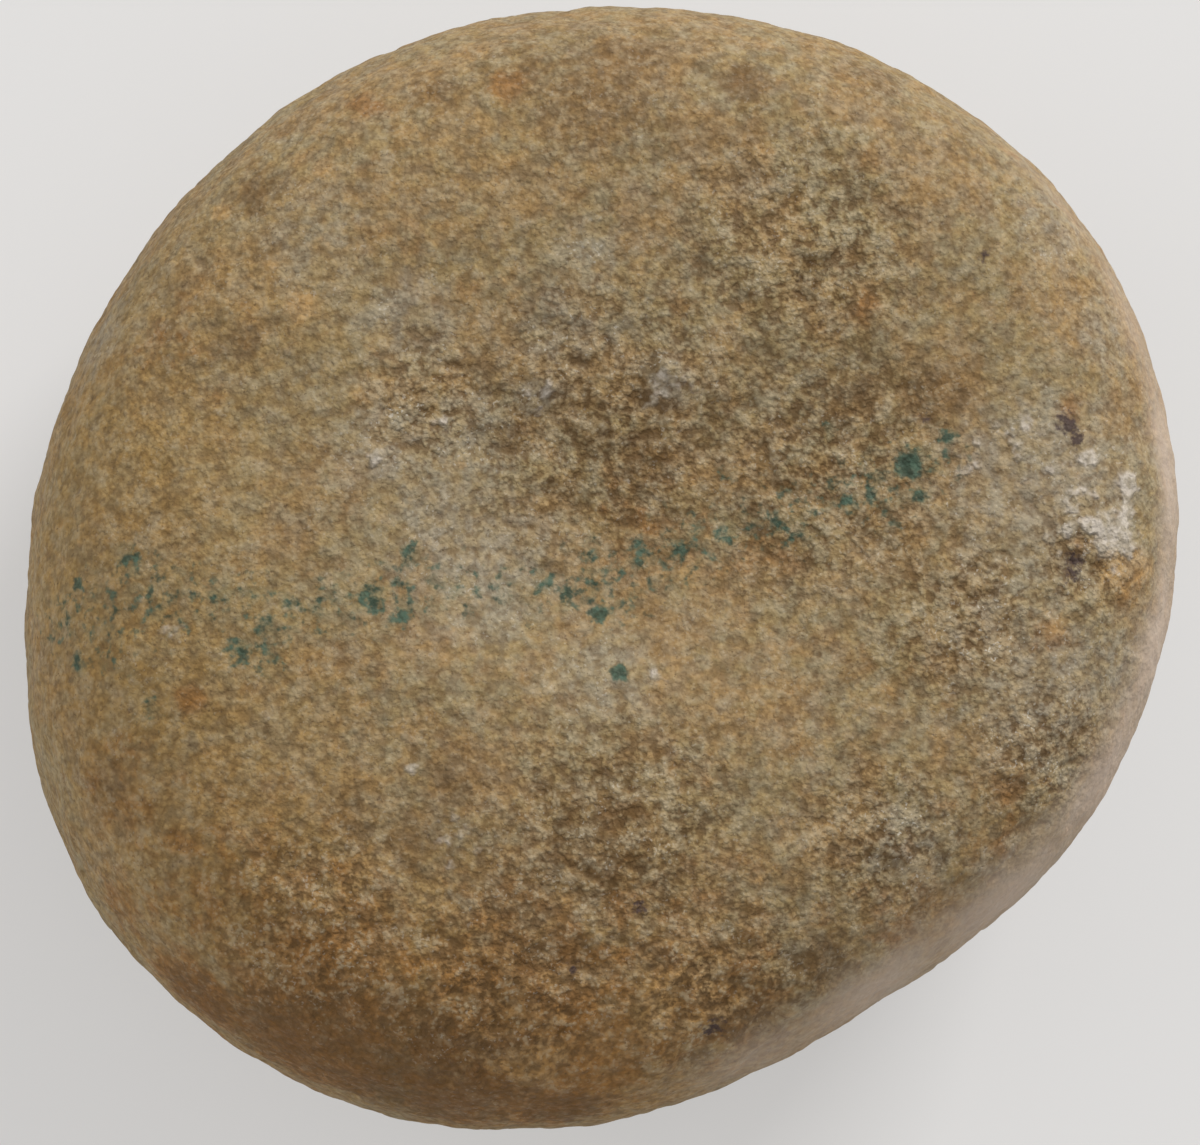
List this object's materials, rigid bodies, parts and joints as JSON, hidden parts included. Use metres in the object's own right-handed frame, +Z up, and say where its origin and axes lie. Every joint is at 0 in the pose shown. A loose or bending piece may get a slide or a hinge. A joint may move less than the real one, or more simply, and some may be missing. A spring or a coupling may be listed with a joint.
{
  "type": "chunkey stone",
  "caption": "Hand-worked sandstone disc for a rolling game: bulged round side, rounded rims, a shallow dish in each broad face and a worn flat to rest on.",
  "frame": {"origin": "under the middle of the stone's outline, on the plane that the stone rests on", "axes": "+Z up through the thickness, out of the pictured face; +X along the stone's longest way across, to the right in the picture"},
  "size_m": [0.1019, 0.0991, 0.047],
  "materials": {
    "sandstone": "worn, gritty and matt"
  },
  "bodies": {
    "root": {"stone_disc": "sandstone"}
  },
  "joints": []
}
